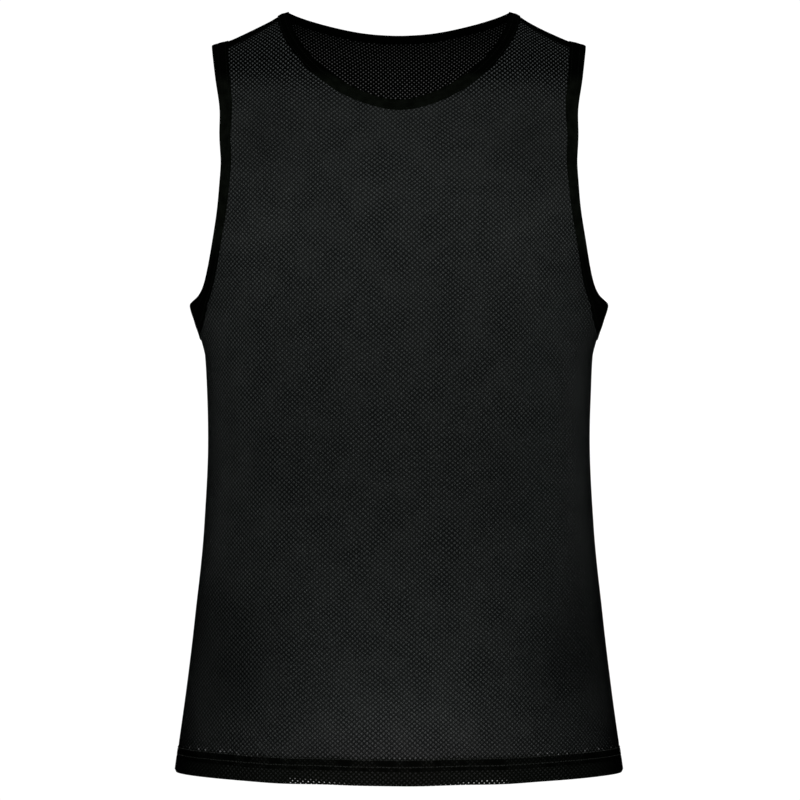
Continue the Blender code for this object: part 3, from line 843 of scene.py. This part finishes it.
class Nodes:
    """Small helper that builds a material's node tree with arithmetic on sockets."""

    def __init__(self, name):
        self.material = bpy.data.materials.new(name)
        self.material.use_nodes = True
        self.tree = self.material.node_tree
        self.shader = self.tree.nodes["Principled BSDF"]

    def add(self, kind, **settings):
        node = self.tree.nodes.new(kind)
        for key, value in settings.items():
            setattr(node, key, value)
        return node

    def join(self, source, socket):
        if isinstance(source, (int, float, tuple)):
            socket.default_value = source
        else:
            self.tree.links.new(source, socket)

    def feed(self, node, **values):
        """Sets or joins sockets by name, with _ for a space."""
        for key, value in values.items():
            self.join(value, node.inputs[key.replace("_", " ")])
        return node

    def math(self, operation, *values):
        node = self.add("ShaderNodeMath", operation=operation)
        for value, socket in zip(values, node.inputs):
            self.join(value, socket)
        return node.outputs[0]

    def plus(self, a, b):
        return self.math("ADD", a, b)

    def minus(self, a, b):
        return self.math("SUBTRACT", a, b)

    def times(self, a, b):
        return self.math("MULTIPLY", a, b)

    def larger(self, a, b):
        return self.math("MAXIMUM", a, b)

    def vector(self, operation, a, b):
        """Arithmetic on a vector, with a number or a fixed vector."""
        node = self.add("ShaderNodeVectorMath", operation=operation)
        self.join(a, node.inputs[0])
        self.join(b, node.inputs["Scale"] if operation == "SCALE" else node.inputs[1])
        return node.outputs[0]

    def ramp(self, value, low, high, start=0.0, end=1.0):
        """start below low, end above high, smooth between."""
        node = self.add("ShaderNodeMapRange", interpolation_type="SMOOTHSTEP")
        for item, socket in zip((value, low, high, start, end), node.inputs):
            self.join(item, socket)
        return node.outputs[0]

    def ripple(self, value, pitch):
        return self.math("SINE", self.times(value, 2 * pi / pitch))

    def attribute(self, name):
        return self.add("ShaderNodeAttribute", attribute_name=name).outputs["Fac"]

    def cloth_place(self):
        """The place on the flat cloth in metres: as a vector, and as its two numbers across and up."""
        uv = self.add("ShaderNodeUVMap", uv_map="cloth").outputs[0]
        split = self.add("ShaderNodeSeparateXYZ")
        self.join(uv, split.inputs[0])
        return uv, split.outputs[0], split.outputs[1]

    def noise(self, vector, scale, detail=2.0):
        node = self.feed(self.add("ShaderNodeTexNoise"), Vector=vector, Scale=scale, Detail=detail)
        return node.outputs["Fac"]

    def uneven(self, vector, scale, size, detail=2.0):
        """Noise that strays to both sides of zero, by up to half the size."""
        return self.times(self.minus(self.noise(vector, scale, detail), 0.5), size)

    def colour(self, factor, a, b, blend_type="MIX"):
        node = self.add("ShaderNodeMix", data_type="RGBA", blend_type=blend_type)
        self.join(factor, node.inputs["Factor"])
        for value, socket in ((a, node.inputs[MIX_A]), (b, node.inputs[MIX_B])):
            self.join((*value, 1.0) if isinstance(value, tuple) else value, socket)
        return node.outputs[MIX_RESULT]

    def bump(self, height, distance, strength):
        node = self.feed(self.add("ShaderNodeBump"), Strength=strength, Distance=distance, Height=height)
        return node.outputs[0]

    def finish(self, **values):
        """Feeds the shader. Nothing here is glossy."""
        self.feed(self.shader, Specular_IOR_Level=0.0, **values)
        return self.material


# Holes
HOLE_WIDE = 0.00475  # from hole to hole across, and down, in one of the two nets
HOLE_HIGH = 0.0042
HOLE_RADIUS = 0.00092
HOLE_SOFT = 0.00058
HOLE_WANDER = 0.00030  # how far the holes stray from an even net, over a few millimetres
PULL = 0.0035  # and over the width of a hand, where the loose cloth is pulled askew
HOLE_UNEVEN = 0.0006  # how much the holes differ in radius
PAINTED_SHADE_SHRINK = 0.00026  # how much smaller the holes are made where the shade is painted, at the shoulders and on the inner face
HOLE_OPEN = 0.275  # share of light that each face of the wall lets through a hole
OPEN_CURVE = 1.3  # how fast that share grows towards a hole's middle

# Noise: features to a centimetre
CENTIMETRES = 100.0  # in a metre
OTHER_PLACE = (31.7, 12.9, 0.0)  # moves a noise, so that its second use differs from the first
WANDER_SCALE = 2.1
PULL_SCALE = 0.13
HOLE_UNEVEN_SCALE = 3.7
HEM_UNEVEN_SCALE = 0.7
LOOSE_SCALE = 0.8
PATCH_SCALE = 0.35
SPARKLE_SCALE = 1.9

# Colours
THREAD_COLOUR = (0.0028, 0.0032, 0.0031)
THREAD_WORN = (0.0050, 0.0055, 0.0053)
WORN_PATCHES = (0.3, 0.7)  # noise values between which the thread turns to worn
WARM_TINT = (1.10, 0.985, 1.03)
HOLE_COLOUR = (0.0245, 0.0268, 0.0262)
# the holes' colour where the shade is painted: lighter, a painted light showing through them
HOLE_IN_PAINTED_SHADE = (0.0380, 0.0415, 0.0420)
SPARKLE_COLOUR = (0.16, 0.165, 0.165)  # a few holes by the hem where the light strikes through
# nearly black: the thread over seams, and the painted shade at the shoulders, inside and on the tapes
SEAM_AND_SHADE_COLOUR = (0.0003, 0.0004, 0.0003)
HEM_COLOUR = (0.0012, 0.0015, 0.0011)
BLACK = (0.0, 0.0, 0.0)
INSIDE_SHADE = 0.85  # how much dimmer the holes are painted on the cloth's inner face, a painted shade
BRIGHTEST = 1.5  # the highest painted lightening that a place of the cloth may have

# Hem, with heights above its edge
HEM_BAND = (0.0181, 0.0226)  # the turned-in edge behind the hem's seam
HEM_LINE = (0.0134, 0.0158)  # a second, narrower line of closed holes
BAND_SOFT = 0.0010
BAND_LOOSE = 0.62  # how far the holes are closed in the hem's seam where it is loosest
LOOSE_PATCHES = (0.40, 0.60)  # noise values between which the seam turns to loose
SEWN_SHADE = 0.65  # how much darker the thread is along the hem's seam
HEM_UNEVEN = 0.0022  # how much the hem's heights stray
BEHIND_SHADE = 0.45  # what is left of a hole's tone where the hem's inner thread lies behind it
HEM_SHADE = 0.74  # how much dimmer the holes are where the hem lies double
HEM_FADE = (0.0226, 0.0262)  # heights over which the holes grow lighter above the hem, out of a painted shadow under its top edge
HEM_FADED = 0.45  # their tone at the lower of those heights
HEM_SHADOW = (0.0222, 0.0290)  # heights over which the thread grows lighter above the hem: dark in the doubled hem itself, then a painted shadow fading out above its top edge
SPARKLE_START = (0.0228, 0.0236)
SPARKLE_END = (0.0262, 0.0275)
SPARKLE_REACH = (0.120, 0.150)  # distances from the centre line beyond which holes sparkle
SPARKLE_FEW = (0.54, 0.58)  # noise values between which they start to
SPARKLE_CURVE = 2.0
HEM_OPEN = 0.85  # share of light let through the holes along the middle of the front's edge
HEM_OPEN_HEIGHT = (0.0006, 0.0052)  # height of that, at the middle and where it ends
HEM_OPEN_REACH = (0.020, 0.101)  # distances from the centre line between which that height grows
HEM_OPEN_CURVE = 4.0

# Relief of the knit
COURSE_PITCH = 0.0007
WALE_PITCH = 0.0008
YARN_RELIEF = 0.10  # beside a hole's depth of one
MESH_BUMP = (0.0006, 0.8)  # distance and strength


def hole_distance(n, u, v):
    """Distance to the nearest hole's middle, in two nets that lie half a step apart."""

    def in_net(offset):
        offs = []
        for value, pitch in ((u, HOLE_WIDE), (v, HOLE_HIGH)):
            step = n.math("FRACT", n.plus(n.math("DIVIDE", value, pitch), offset))
            offs.append(n.times(n.minus(step, 0.5), pitch))
        return n.math("SQRT", n.plus(*[n.times(off, off) for off in offs]))

    return n.math("MINIMUM", in_net(0.0), in_net(0.5))


def mesh_cloth(name, front):
    """Thread with two interlaced nets of holes, closed over seam allowances and doubled in the hem."""
    n = Nodes(name)
    uv, across, above_edge = n.cloth_place()
    place = n.vector("SCALE", uv, CENTIMETRES)
    elsewhere = n.vector("ADD", place, OTHER_PLACE)
    covered, painted_shade, inside = n.attribute("covered"), n.attribute("painted_shade"), n.attribute("inside")
    off_middle = n.math("ABSOLUTE", across)

    # the nets of holes
    def stray(where):
        near = n.uneven(where, WANDER_SCALE, 2 * HOLE_WANDER)
        return n.plus(near, n.uneven(where, PULL_SCALE, 2 * PULL, detail=1.0))

    u, v = n.plus(across, stray(place)), n.plus(above_edge, stray(elsewhere))
    distance = hole_distance(n, u, v)
    behind = hole_distance(n, n.plus(u, stray(elsewhere)), n.minus(stray(place), v))
    behind = n.ramp(behind, HOLE_RADIUS, HOLE_RADIUS + HOLE_SOFT, 1.0, BEHIND_SHADE)
    # the holes are smaller where the shade is painted
    size = n.minus(n.uneven(place, HOLE_UNEVEN_SCALE, HOLE_UNEVEN), n.times(painted_shade, PAINTED_SHADE_SHRINK))
    hole = n.ramp(n.minus(distance, size), HOLE_RADIUS - HOLE_SOFT, HOLE_RADIUS + HOLE_SOFT, 1.0, 0.0)

    # the hem, sewn a little unevenly
    up = n.plus(above_edge, n.uneven(place, HEM_UNEVEN_SCALE, HEM_UNEVEN))
    in_hem = n.ramp(up, HEM_BAND[1] - BAND_SOFT, HEM_BAND[1], 1.0, 0.0)

    def band(low, high):
        return n.times(n.ramp(up, low - BAND_SOFT, low), n.ramp(up, high, high + BAND_SOFT, 1.0, 0.0))

    loosely = n.ramp(n.noise(place, LOOSE_SCALE), *LOOSE_PATCHES, 1.0, BAND_LOOSE)
    sewn = n.times(n.larger(band(*HEM_BAND), band(*HEM_LINE)), loosely)
    hole = n.times(hole, n.minus(1.0, n.larger(sewn, covered)))
    single = n.minus(1.0, n.times(in_hem, HEM_SHADE))
    # holes fade out of a painted shadow above the hem, and dim where the hem's inner layer lies behind them
    doubled = n.ramp(in_hem, 0.0, 1.0, n.ramp(up, *HEM_FADE, HEM_FADED, 1.0), behind)
    hole_tone = n.times(n.times(hole, single), doubled)

    # colours of thread and holes
    yarn = n.times(n.ripple(up, COURSE_PITCH), n.ripple(across, WALE_PITCH))
    worn = n.ramp(n.noise(place, PATCH_SCALE, detail=3.0), *WORN_PATCHES)
    thread = n.colour(worn, THREAD_COLOUR, THREAD_WORN)
    # the doubled hem's darker thread, and a painted shadow above its top edge
    thread = n.colour(n.ramp(up, *HEM_SHADOW, 1.0, 0.0), thread, HEM_COLOUR)
    # the thread goes nearly black over seam allowances and in the hem's seam, and where the shade is painted
    dark = n.larger(n.larger(covered, painted_shade), n.times(sewn, SEWN_SHADE))
    thread = n.colour(dark, thread, SEAM_AND_SHADE_COLOUR)
    # painted shade on the inner face dims its holes
    hole_inside_shade = n.minus(1.0, n.times(inside, INSIDE_SHADE))
    base = n.colour(n.times(hole_tone, hole_inside_shade), thread, n.colour(painted_shade, HOLE_COLOUR, HOLE_IN_PAINTED_SHADE))
    by_hem = n.times(n.ramp(up, *SPARKLE_START), n.ramp(up, *SPARKLE_END, 1.0, 0.0))
    few = n.ramp(n.noise(elsewhere, SPARKLE_SCALE), *SPARKLE_FEW)
    sparkle = n.times(few, n.math("POWER", hole, SPARKLE_CURVE))
    sparkle = n.times(n.times(by_hem, n.ramp(off_middle, *SPARKLE_REACH)), sparkle)
    base = n.colour(n.times(sparkle, n.minus(1.0, inside)), base, SPARKLE_COLOUR)
    base = n.colour(n.attribute("warm"), base, WARM_TINT, "MULTIPLY")
    # painted light and shade from the panel, lightening or darkening the whole colour
    tone = n.math("DIVIDE", n.attribute("tone"), BRIGHTEST)
    base = n.colour(tone, BLACK, n.vector("SCALE", base, BRIGHTEST))

    # light that goes through
    open_share = n.times(n.math("POWER", hole_tone, OPEN_CURVE), HOLE_OPEN)
    if front:
        reach = n.ramp(off_middle, HEM_OPEN_REACH[1], HEM_OPEN_REACH[1] + BAND_SOFT, 1.0, 0.0)
        top = n.ramp(off_middle, *HEM_OPEN_REACH, *HEM_OPEN_HEIGHT)
        low = n.ramp(n.minus(up, top), -BAND_SOFT, BAND_SOFT, 1.0, 0.0)
        shows_through = n.times(n.times(reach, low), HEM_OPEN)
        edge_holes = n.times(n.math("POWER", hole, HEM_OPEN_CURVE), shows_through)
        open_share = n.larger(open_share, edge_holes)
    return n.finish(
        Base_Color=base,
        Roughness=0.82,
        Alpha=n.minus(1.0, open_share),
        Normal=n.bump(n.minus(n.times(yarn, YARN_RELIEF), hole), *MESH_BUMP),
    )


TAPE_DARK = (0.0008, 0.0011, 0.0007)
TAPE_PALE = (0.0019, 0.0024, 0.0017)
TAPE_PATCHES = (0.3, 0.72)  # noise values between which the tape turns from dark to pale
TAPE_PATCH_SCALE = 1.2  # features to a centimetre
RIB_PITCH = 0.0011
TAPE_COURSE_PITCH = 0.0009
RIB_RELIEF = 0.35
TAPE_COURSE_RELIEF = 0.25
TAPE_BUMP = (0.00025, 0.8)


def knit_tape(name):
    n = Nodes(name)
    uv, along, across = n.cloth_place()
    ribs = n.times(n.ripple(along, RIB_PITCH), RIB_RELIEF)
    courses = n.times(n.ripple(across, TAPE_COURSE_PITCH), TAPE_COURSE_RELIEF)
    patchy = n.noise(n.vector("SCALE", uv, CENTIMETRES), TAPE_PATCH_SCALE, detail=4.0)
    base = n.colour(n.ramp(patchy, *TAPE_PATCHES), TAPE_DARK, TAPE_PALE)
    # the tape goes nearly black where the shade is painted
    return n.finish(
        Base_Color=n.colour(n.attribute("painted_shade"), base, SEAM_AND_SHADE_COLOUR),
        Roughness=0.80,
        Normal=n.bump(n.plus(n.plus(ribs, courses), patchy), *TAPE_BUMP),
    )


TWIST_SCALE = 900.0
TWIST_BUMP = (0.0001, 0.6)


def sewing_thread(name, dark, light):
    """Twisted thread."""
    n = Nodes(name)
    twist = n.add("ShaderNodeTexWave", wave_type="BANDS", bands_direction="DIAGONAL")
    n.feed(twist, Vector=n.add("ShaderNodeTexCoord").outputs["Object"], Scale=TWIST_SCALE)
    return n.finish(
        Base_Color=n.colour(twist.outputs["Fac"], dark, light),
        Roughness=0.6,
        Normal=n.bump(twist.outputs["Fac"], *TWIST_BUMP),
    )


GLOW_START = 1.2  # distance over the floor at which lit paper starts to turn into plain white
GLOW_END = 5.2  # and at which it is white
GLOW_NEAR = 0.30
GLOW_FAR = 1.05
PAPER_DARK = (0.86, 0.86, 0.86)
PAPER_PALE = (0.88, 0.88, 0.88)
PAPER_SCALE = 3.0


def paper(name):
    """The plain pale floor, which glows: faintly near the bib, and fully white further off, where it runs out
    into the white of the studio.
    """
    n = Nodes(name)
    place = n.add("ShaderNodeTexCoord").outputs["Object"]
    distance = n.add("ShaderNodeVectorMath", operation="LENGTH")
    n.join(place, distance.inputs[0])
    far = n.ramp(distance.outputs["Value"], GLOW_START, GLOW_END)
    pale = n.colour(n.noise(place, PAPER_SCALE), PAPER_DARK, PAPER_PALE)
    return n.finish(
        Base_Color=n.colour(far, pale, BLACK),
        Roughness=0.9,
        Emission_Color=(1.0, 1.0, 1.0, 1.0),
        Emission_Strength=n.plus(n.times(far, GLOW_FAR - GLOW_NEAR), GLOW_NEAR),
    )


# ------------ the bib

STRIPS = {
    side: {
        "neck": strip_under_tape(side, neck_edge, NECK_STEPS[side], -1, at_side_seam=False),
        "armhole": strip_under_tape(side, armhole_edge, ARMHOLE_STEPS, 1, at_side_seam=True),
    }
    for side in (FRONT, BACK)
}

tape_material = knit_tape("binding_knit")
seam_thread = sewing_thread("seam_thread", dark=(0.0012, 0.0015, 0.0012), light=(0.0034, 0.0040, 0.0034))
hem_thread = sewing_thread("hem_thread", dark=(0.0055, 0.0060, 0.0055), light=(0.0170, 0.0180, 0.0165))

for side, name in ((FRONT, "front"), (BACK, "back")):
    cloth_material = mesh_cloth(name + "_mesh", front=side == FRONT)
    panel = make_panel(name + "_cloth", side, list(STRIPS[side].values()), cloth_material)
    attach(panel, "root")
    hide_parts(name + "_panel")
    stitches = hem_stitches(name + "_hem_stitches", side, hem_thread)
    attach(stitches, "root")

for node, edge_name, mirror in (
    ("neck_binding", "neck", 1),
    ("armhole_binding_left", "armhole", 1),
    ("armhole_binding_right", "armhole", -1),
):
    tape, perimeter = make_tape(node + "_tape", edge_name, mirror, tape_material)
    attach(tape, "root")
    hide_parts(node)
    stitches = tape_stitches(node + "_stitches", edge_name, mirror, seam_thread)
    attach(stitches, "root")

# ------------ floor, light and camera

FLOOR_LEVEL = -1.40  # a wearer's shoulders are this high
FLOOR_SIZE = 60.0
AIM = (0, 0, -0.35)  # half way down the bib
SENSOR_WIDTH = 36.0


def add_floor():
    half = FLOOR_SIZE / 2
    corners = [(-half, -half, 0), (half, -half, 0), (half, half, 0), (-half, half, 0)]
    floor = new_object("floor", np.array(corners), [[0, 1, 2, 3]], paper("floor_paper"))
    floor.location.z = FLOOR_LEVEL


def add_light(name, place, size, power, aim=AIM):
    data = bpy.data.lights.new(name, "AREA")
    data.shape = "RECTANGLE"
    data.size, data.size_y = size
    data.energy = power
    lamp = bpy.data.objects.new(name, data)
    bpy.context.scene.collection.objects.link(lamp)
    lamp.location = place
    lamp.rotation_euler = (Vector(aim) - Vector(place)).to_track_quat("-Z", "Y").to_euler()
    lamp.visible_camera = False


def add_world(seen, lighting):
    """White to the camera, and weaker as a light."""
    world = bpy.data.worlds.new("studio")
    bpy.context.scene.world = world
    world.use_nodes = True
    tree = world.node_tree
    background = tree.nodes["Background"]
    background.inputs["Color"].default_value = (1.0, 1.0, 1.0, 1.0)
    path = tree.nodes.new("ShaderNodeLightPath")
    strength = tree.nodes.new("ShaderNodeMapRange")
    strength.inputs["To Min"].default_value = lighting
    strength.inputs["To Max"].default_value = seen
    tree.links.new(path.outputs["Is Camera Ray"], strength.inputs["Value"])
    tree.links.new(strength.outputs["Result"], background.inputs["Strength"])


def add_camera(place, lens):
    data = bpy.data.cameras.new("camera")
    data.lens = lens
    data.sensor_width = SENSOR_WIDTH
    camera = bpy.data.objects.new("camera", data)
    camera.location = place
    camera.rotation_euler = (QUARTER, 0.0, 0.0)
    bpy.context.scene.collection.objects.link(camera)
    bpy.context.scene.camera = camera


add_floor()
add_world(seen=1.05, lighting=0.06)
add_light("front_left", place=(-0.6, -3.6, 0.10), size=(1.1, 1.1), power=94)
add_light("front_right", place=(0.8, -3.5, 0.00), size=(1.1, 1.1), power=62)
add_light("rear", place=(0.9, 3.4, 0.3), size=(1.4, 1.4), power=170)
add_light("side_left", place=(-3.0, 1.8, 0.5), size=(1.2, 1.2), power=40)
add_light("side_right", place=(3.0, 1.8, 0.5), size=(1.2, 1.2), power=40)
add_light("over_floor", place=(0.0, 0.6, 2.6), size=(3.0, 3.0), power=60, aim=(0, 0.6, FLOOR_LEVEL))
add_camera(place=(0.001, -3.0, -0.360), lens=145.16)

scene = bpy.context.scene
scene.view_settings.view_transform = "Standard"
